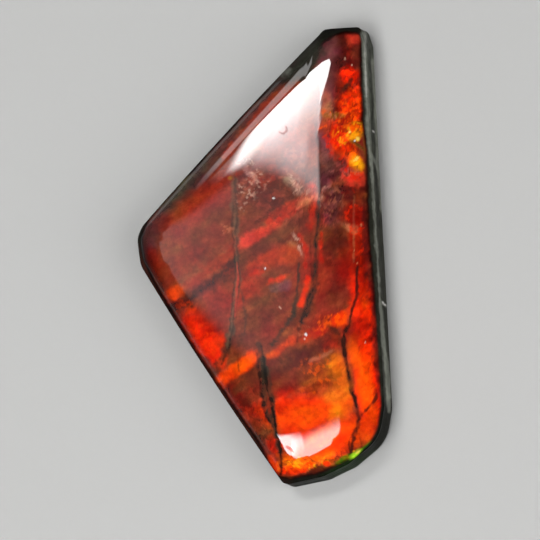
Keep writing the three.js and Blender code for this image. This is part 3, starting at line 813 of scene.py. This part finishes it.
def lay_patches(paint, patches, wander):
    for colour, *place, softness, ragged, strength in patches.values():
        reach = wander.reach(*place, ragged)
        paint = lay(paint, colour, strength * (1 - smooth(1 - softness, 1 + softness, reach)))
    return paint


def lay_lines(paint, lines, wander, broken):
    """Streaks or cracks. A broken line fades in and out along its course."""
    gaps = 1 - broken * smooth(0.02, 0.16, wander.gaps + 0.5 * wander.fine)
    for colour, course, softness, wobble, strength in lines.values():
        at = wander.pixels + wobble * (0.4 * wander.drift + 0.9 * wander.shiver)
        distance = line_distance(at, course) + softness * (1.6 * wander.fine + 1.2 * wander.rough)
        paint = lay(paint, colour, strength * gaps * (1 - smooth(-softness * 0.4, softness, distance)))
    return paint


def crumple(paint, wander):
    """The crumpled look of the shell: plates and flakes of their own brightness, parted by fine lines."""
    crumpled = np.full(len(paint), EVEN_CRUMPLE)
    for *place, strength in CRUMPLED.values():
        reach = wander.reach(*place, 0.4)
        crumpled = np.maximum(crumpled, strength * (1 - smooth(0.6, 1.3, reach)))
    light = PLATE_LIGHT * (wander.plate - 0.5) + FLAKE_LIGHT * (wander.flake - 0.5)
    paint = paint * np.exp(crumpled * light)[:, None]
    paint = lay(paint, UMBER, SEAM_STRENGTH * crumpled * (1 - smooth(0.1, 1.1, wander.seam)))
    for colour, *place, share, strength in FLAKES.values():
        inside = 1 - smooth(0.6, 1.4, wander.reach(*place, 0.4))
        chosen = (wander.flake * 7.3 % 1) < share
        paint = lay(paint, colour, strength * chosen * smooth(0.1, 0.8, wander.fold) * inside)
    for colour, *place, strength in WISPS.values():
        inside = 1 - smooth(0.5, 1.3, wander.reach(*place, 0.6))
        grains = smooth(0.0, 0.15, wander.grain) * smooth(-0.1, 0.08, wander.fine)
        paint = lay(paint, colour, strength * inside * grains)
    return paint


def stone_colours(wander):
    rock = np.repeat(linear(STONE)[None], len(wander.pixels), 0)
    rock = lay_patches(rock, RIM_PATCHES, wander)
    rock = lay_lines(rock, WALL_LINES, wander, 0.2)
    return rock * np.exp(ROCK_LIGHT * (wander.blotch + wander.fine))[:, None]


def painted_rim_shade(paint, fade, distance):
    """Painted shade: the paint sinks to a share of itself where a distance runs down through the fade."""
    return paint * (RIM_SHADE_FLOOR + (1 - RIM_SHADE_FLOOR) * smooth(*fade, distance))[:, None]


def face_colours(pixels, bevel):
    """The face's colour where each pixel place shows it, and how much of it is bare stone."""
    wander = Wander(pixels)
    paint = np.repeat(linear(BRICK)[None], len(pixels), 0)
    paint = lay_patches(paint, PATCHES, wander)
    paint = lay_lines(paint, STREAKS, wander, 0.3)
    light = STREAK_LIGHT * wander.streak + BLOTCH_LIGHT * wander.blotch + FINE_LIGHT * wander.fine
    paint = paint * np.exp(light)[:, None]
    paint[:, 1] *= np.exp(PATCH_WARMTH * wander.warm + STREAK_WARMTH * wander.streak)
    paint = crumple(paint, wander)
    paint = lay_lines(paint, CRACKS, wander, 0.3)
    for colour, middle, radius in SPECKS:
        away = np.hypot(*(pixels - np.array(middle) + 2 * wander.shiver).T)
        paint = lay(paint, colour, 1 - smooth(radius * 0.4, radius * 1.4, away))
    ragged = 2.5 * wander.rough + 1.5 * wander.fine
    inside = inside_distance(pixels, SHELL_EDGE) + ragged
    # painted shade: the colour darkens towards the shell's edge and down the lower-left shoulder
    paint = painted_rim_shade(paint, RIM_SHADE_FADE, inside)
    paint = painted_rim_shade(paint, LOW_LEFT_SHADE_FADE, line_distance(pixels, LOW_LEFT_SHADE_LINE) + ragged)
    stone = np.maximum(1 - smooth(-1.5, 0.5, inside), bevel)
    paint = paint * (1 - stone)[:, None] + stone_colours(wander) * stone[:, None]
    paint = lay_patches(paint, FLASHES, wander)
    return np.clip(paint * PAINT_LEVEL, 0, 0.95), stone


def paint_face(mesh, points):
    """The paint, and the polish, which is duller on the stone, down at the rim and where it is marked."""
    pixels = shown_at(points)
    over_rim = points[:, 2] - RIM_HEIGHT
    colour, stone = face_colours(pixels, 1 - smooth(*BEVEL_FADE, over_rim))
    low = 1 - smooth(*POLISH_FADE, over_rim)
    polish = 1 - np.maximum(RIM_DULLNESS * low, STONE_DULLNESS * stone)
    for course in MARKS:
        polish = polish * (MARK_POLISH + (1 - MARK_POLISH) * smooth(-0.3, 0.8, line_distance(pixels, course)))
    set_colour(mesh, "paint", colour)
    set_number(mesh, "polish", polish)


def paint_slab(mesh, points):
    wander = Wander(shown_at(points))
    set_colour(mesh, "paint", stone_colours(wander) * PAINT_LEVEL)


# --- The pieces' meshes ---
FACE_RINGS = 144
FACE_CROWDING = 1.2  # above 1 the rings crowd towards the rim
BEVEL_ROWS = 3
WALL_RINGS = 22
WALL_POINTS = 8 * 84
BACK_RINGS = 20
POLISH_WAVES = 0.012  # how far the hand polish rises and falls
POLISH_WAVE_SIZE = 9
WHEEL_FLATS = 0.05  # how deep the grinding wheel's flats go, and the shale's thin layers
WHEEL_FLAT_SIZE = 7
WORN_LAYERS = 0.035
LAYER_STRETCH = np.array([0.12, 0.12, 3.0])
LAYER_SIZE = 1.2
WALL_MARGIN = 0.25  # the wall runs true this near its top and foot
BACK_BEVEL_POWER = 1.5


def dome_points():
    """The face from the middle of the dome to the rim, as the net's points."""
    rows = [np.array([[*DOME_CENTRE, dome_height(DOME_CENTRE[None], DOME_CENTRE[None], 1.0)[0]]])]
    for ring in range(1, FACE_RINGS + 1):
        outline, out = outline_at(ring_lengths(ring))
        rim = outline - out * RIM_INSET
        share = (1 - ring / FACE_RINGS) ** FACE_CROWDING
        points = rim + (DOME_CENTRE - rim) * share
        rows.append(np.column_stack([points, dome_height(points, rim, share)]))
    return np.concatenate(rows)


def hand_polish(points):
    """How far the polished face rises and falls from the even dome."""
    flat = points * np.array([1, 1, 0])
    inside = smooth(0.2, 1.5, rim_distance(points[:, :2]) - RIM_INSET)
    return inside * POLISH_WAVES * clouds(flat, POLISH_WAVE_SIZE, 201, 2)


def make_face():
    top = dome_points()
    top[:, 2] += hand_polish(top)
    count = 8 * FACE_RINGS
    outline, out = outline_at(ring_lengths(FACE_RINGS))
    rows = [top]
    for row in range(1, BEVEL_ROWS + 1):
        part = row / BEVEL_ROWS
        inset = RIM_INSET - BEVEL_WIDTH * part
        height = np.full(count, RIM_HEIGHT - BEVEL_HEIGHT * part)
        rows.append(np.column_stack([outline - out * inset, height]))
    rows.append(np.array([[*DOME_CENTRE, SEAM_HEIGHT]]))
    points = np.concatenate(rows)
    faces = [net_faces(FACE_RINGS)]
    ring = ring_start(FACE_RINGS)
    for _ in range(BEVEL_ROWS):
        faces.append(band_faces(ring + count, ring, count))
        ring += count
    underside = fan_faces(ring, len(points) - 1, count)[:, [1, 0, 2]]
    piece = make_mesh("ammolite_cabochon", points, faces + [underside], flat_faces=count)
    paint_face(piece.data, points)
    return piece


def wall_profile(height):
    """How far in from the outline the slab's wall lies at a height."""
    bevel = BACK_BEVEL * np.maximum(1 - height / BACK_BEVEL, 0) ** BACK_BEVEL_POWER
    taper = WALL_TAPER * np.maximum(height - BACK_BEVEL, 0) / (SEAM_HEIGHT - BACK_BEVEL)
    return bevel + taper


def ground_wall(points, height):
    """How far the ground wall dips in: long flats from the wheel and thin layers."""
    flats = WHEEL_FLATS * (0.5 + clouds(points, WHEEL_FLAT_SIZE, 301, 3))
    layers = WORN_LAYERS * smooth(-0.12, 0.2, clouds(points * LAYER_STRETCH, LAYER_SIZE, 302, 3))
    ends = smooth(0, WALL_MARGIN, height) * smooth(0, WALL_MARGIN, SEAM_HEIGHT - height)
    return (flats + layers) * ends


def make_slab():
    outline, out = outline_at(np.arange(WALL_POINTS) * LENGTHS[-1] / WALL_POINTS)
    rows = []
    for height in SEAM_HEIGHT * (1 - np.linspace(0, 1, WALL_RINGS + 1)):
        level = np.full(WALL_POINTS, height)
        wall = np.column_stack([outline - out * wall_profile(height), level])
        wall[:, :2] -= out * ground_wall(wall, height)[:, None]
        rows.append(wall)
    foot = rows[-1][:, :2]
    for ring in range(1, BACK_RINGS):
        flat = foot + (DOME_CENTRE - foot) * ring / BACK_RINGS
        rows.append(np.column_stack([flat, np.zeros(WALL_POINTS)]))
    rows += [np.array([[*DOME_CENTRE, height]]) for height in (0, SEAM_HEIGHT)]
    points = np.concatenate(rows)
    bands = range(WALL_RINGS + BACK_RINGS - 1)
    faces = [band_faces((ring + 1) * WALL_POINTS, ring * WALL_POINTS, WALL_POINTS) for ring in bands]
    faces.append(fan_faces(len(bands) * WALL_POINTS, len(points) - 2, WALL_POINTS)[:, [1, 0, 2]])
    faces.append(fan_faces(0, len(points) - 1, WALL_POINTS))
    piece = make_mesh("shale_slab", points, faces, flat_faces=WALL_POINTS)
    paint_slab(piece.data, points)
    return piece


# --- Materials ---
NOISE_RANGE = (0.3, 0.7)  # where most of the texture noise lies
FLOOR_SHADES = [(0.26, 0.26, 0.256, 1), (0.27, 0.27, 0.266, 1)]


def set_inputs(tree, node, inputs):
    """Set a node's inputs, each to a value or to another node's output."""
    for name, value in inputs.items():
        if isinstance(value, bpy.types.NodeSocket):
            tree.links.new(value, node.inputs[name])
        else:
            node.inputs[name].default_value = value


def add_node(tree, kind, inputs, **settings):
    node = tree.nodes.new(kind)
    for name, value in settings.items():
        setattr(node, name, value)
    set_inputs(tree, node, inputs)
    return node


def new_material(name):
    material = bpy.data.materials.new(name)
    material.use_nodes = True
    tree = material.node_tree
    return material, tree, tree.nodes["Principled BSDF"]


def texture_noise(tree, scale, detail, roughness, stretch=(1, 1, 1)):
    """Noise over the object's own coordinates, in metres, from 0 to 1."""
    place = add_node(tree, "ShaderNodeTexCoord", {}).outputs["Object"]
    mapping = add_node(tree, "ShaderNodeMapping", {"Vector": place, "Scale": stretch})
    texture = add_node(tree, "ShaderNodeTexNoise", {
        "Vector": mapping.outputs["Vector"], "Scale": scale, "Detail": detail, "Roughness": roughness})
    return texture.outputs["Fac"]


def number_range(tree, value, low, high, to_low, to_high):
    """A number carried smoothly from one range over to another."""
    inputs = {"Value": value, "From Min": low, "From Max": high, "To Min": to_low, "To Max": to_high}
    return add_node(tree, "ShaderNodeMapRange", inputs, interpolation_type="SMOOTHSTEP").outputs["Result"]


def multiply(tree, colour, factor):
    """A colour times a number."""
    inputs = {"Factor": 1.0, "A": colour, "B": factor}
    return add_node(tree, "ShaderNodeMix", inputs, data_type="RGBA", blend_type="MULTIPLY").outputs["Result"]


def bump(tree, height, distance, strength):
    inputs = {"Height": height, "Distance": distance, "Strength": strength}
    return add_node(tree, "ShaderNodeBump", inputs).outputs["Normal"]


def painted(tree):
    return add_node(tree, "ShaderNodeVertexColor", {}, layer_name="paint").outputs["Color"]


def ammolite_material():
    """Coloured shell under a clear polish: the painted colour with fine crumbly grain, and a glossy coat."""
    material, tree, shader = new_material("polished_ammolite")
    grain = texture_noise(tree, scale=2600, detail=5, roughness=0.65)
    light = number_range(tree, grain, *NOISE_RANGE, 0.86, 1.14)
    set_inputs(tree, shader, {
        "Base Color": multiply(tree, painted(tree), light),
        "Roughness": number_range(tree, grain, *NOISE_RANGE, 0.42, 0.3),
        "Normal": bump(tree, grain, distance=0.00004, strength=0.5),
        "Specular IOR Level": 0.0,
        "Coat Weight": add_node(tree, "ShaderNodeAttribute", {}, attribute_name="polish").outputs["Fac"],
        "Coat Roughness": 0.025,
        "Coat IOR": 1.5,
    })
    return material


def shale_material():
    """Dark grey-green shale, ground matt: painted layers and stains, with mottling of its own."""
    material, tree, shader = new_material("ground_shale")
    layers = texture_noise(tree, scale=900, detail=4, roughness=0.6, stretch=(0.06, 0.06, 1.6))
    mottle = texture_noise(tree, scale=500, detail=5, roughness=0.6)
    layered = multiply(tree, painted(tree), number_range(tree, layers, *NOISE_RANGE, 0.8, 1.25))
    set_inputs(tree, shader, {
        "Base Color": multiply(tree, layered, number_range(tree, mottle, *NOISE_RANGE, 0.75, 1.25)),
        "Roughness": number_range(tree, mottle, *NOISE_RANGE, 0.38, 0.6),
        "Normal": bump(tree, mottle, distance=0.00006, strength=0.6),
        "Specular IOR Level": 0.1,
    })
    return material


def floor_material():
    material, tree, shader = new_material("plain_floor")
    shade = texture_noise(tree, scale=6, detail=2, roughness=0.5)
    ramp = add_node(tree, "ShaderNodeValToRGB", {"Fac": shade})
    for element, colour in zip(ramp.color_ramp.elements, FLOOR_SHADES):
        element.color = colour
    set_inputs(tree, shader, {
        "Base Color": ramp.outputs["Color"],
        "Roughness": 0.9,
        "Specular IOR Level": 0.2,
    })
    return material


# --- Floor, lights and world ---
FLOOR_SIZE = 1300
WALL_LIGHT = 0.15  # radiance of the pale wall round the horizon
CEILING_LIGHT = 0.03
WALL_TOP = 0.05  # heights as the sine of the elevation
CEILING_START = 0.3
SOFTBOX_HEIGHT = 320  # the softboxes hang level at this height above the floor
SOFTBOX_STEP = 1  # each a little above the one before, since two at one height would hide each other

# Softboxes: name, radiance, and corners anticlockwise as seen from above, each as x, y and the width of
# the soft edge on the side that follows. The polish mirrors each one in one part of the dome. The corners
# began as the places that it mirrors at the edges of the photo's reflections.
SOFTBOXES = [
    ("window", 27, [(-189, 121, 5), (-150, 97, 30), (-74, 86.5, 2), (-74, 160, 3), (-210, 156, 9)]),
    ("window_tip", 24, [(-78, 99, 4), (0, 118, 3), (36, 144, 2), (10, 157, 2), (-78, 160, 0.5)]),
    ("window_tail", 2.8, [(-213, 137, 10), (-190, 118, 2), (-180, 125, 2), (-196, 150, 5)]),
    ("window_haze", 6.4, [(-165, 103, 8), (-130, 81, 7), (-71, 72, 7), (-71, 110, 14), (-165, 130, 12)]),
    ("haze_heart", 5, [(-160, 104, 10), (-128, 84, 10), (-92, 80, 14), (-88, 100, 14), (-150, 118, 14)]),
    ("pale_line", 3.7, [(-222, 139, 26), (-188, 221, 12), (-520, 502, 35), (-380, 272, 17)]),
    ("veil", 1.2, [(-285, 22, 18), (-50, 22, 170), (-50, 118, 22), (-290, 118, 20)]),
    ("low_window", 20, [(-203, -34, 4), (-116, -225, 8), (-80, -310, 60), (-66, -225, 30), (-86, -62, 30),
        (-118, -18, 20)]),
    ("low_window_pale", 11.5, [(-125, -38, 6), (-96, -335, 22), (-20, -375, 20), (14, -316, 12),
        (40, -205, 12), (24, -95, 12), (6, -30, 110)]),
]

# A plain panel that faces the stone, and that the polish doesn't mirror: name, place, size and radiance.
FILL_PANEL = ("right_fill", (330, -100, 220), (300, 300), 8)


def add_lamp(name, place, size, radiance):
    data = bpy.data.lights.new(name, "AREA")
    data.shape = "RECTANGLE"
    data.size, data.size_y = size[0] * MM, size[1] * MM
    data.energy = radiance * math.pi * data.size * data.size_y
    lamp = bpy.data.objects.new(name, data)
    lamp.location = [value * MM for value in place]
    bpy.context.scene.collection.objects.link(lamp)
    return lamp


def edge_fade(tree, spot, start, end, width):
    """A number that rises from 0 on one edge to 1 at a width inside it."""
    along = (end - start) / np.linalg.norm(end - start)
    inward = np.array([-along[1], along[0]])
    dot = add_node(tree, "ShaderNodeVectorMath", {0: spot, 1: (*inward, 0)}, operation="DOT_PRODUCT")
    edge = float(start @ inward)
    return number_range(tree, dot.outputs["Value"], edge, edge + width, 0.0, 1.0)


def make_softbox(name, radiance, corners, height):
    """A level softbox with a polygon's outline and soft edges."""
    places = np.array([corner[:2] for corner in corners], float)
    low, high = places.min(0), places.max(0)
    middle, size = (low + high) / 2, high - low
    lamp = add_lamp(name, (*middle, height), size, radiance)
    lamp.data.use_nodes = True
    tree = lamp.data.node_tree
    share = add_node(tree, "ShaderNodeNewGeometry", {}).outputs["Parametric"]
    scaling = {0: share, 1: (*size, 0), 2: (*low, 0)}
    spot = add_node(tree, "ShaderNodeVectorMath", scaling, operation="MULTIPLY_ADD").outputs["Vector"]
    strength = 1.0
    for start, end, corner in zip(places, np.roll(places, -1, axis=0), corners):
        fade = edge_fade(tree, spot, start, end, corner[2])
        strength = add_node(tree, "ShaderNodeMath", {0: strength, 1: fade}, operation="MULTIPLY").outputs[0]
    tree.links.new(strength, tree.nodes["Emission"].inputs["Strength"])


def make_fill_panel():
    lamp = add_lamp(*FILL_PANEL)
    lamp.rotation_euler = Vector(FILL_PANEL[1]).to_track_quat("Z", "Y").to_euler()
    lamp.visible_glossy = False


def make_world():
    """A pale wall round the horizon under a dark ceiling, so that the polish doesn't look milky."""
    world = bpy.data.worlds.new("studio")
    world.use_nodes = True
    tree = world.node_tree
    place = add_node(tree, "ShaderNodeTexCoord", {}).outputs["Generated"]
    up = add_node(tree, "ShaderNodeSeparateXYZ", {0: place}).outputs["Z"]
    light = number_range(tree, up, WALL_TOP, CEILING_START, WALL_LIGHT, CEILING_LIGHT)
    set_inputs(tree, tree.nodes["Background"], {"Color": (1, 1, 1, 1), "Strength": light})
    bpy.context.scene.world = world


def make_floor():
    half = FLOOR_SIZE / 2
    corners = np.array([[-half, -half, 0], [half, -half, 0], [half, half, 0], [-half, half, 0]])
    floor = make_mesh("floor", corners, [np.array([[0, 1, 2, 3]])])
    floor.data.materials.append(floor_material())


# --- Everything together ---
make_camera()
make_world()
make_floor()
for number, softbox in enumerate(SOFTBOXES):
    make_softbox(*softbox, SOFTBOX_HEIGHT + SOFTBOX_STEP * number)
make_fill_panel()

face = make_face()
face.data.materials.append(ammolite_material())
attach(face, "root")
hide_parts("ammolite_face")

slab = make_slab()
slab.data.materials.append(shale_material())
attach(slab, "root")
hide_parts("shale_backing")

bpy.context.scene.view_settings.view_transform = "Standard"
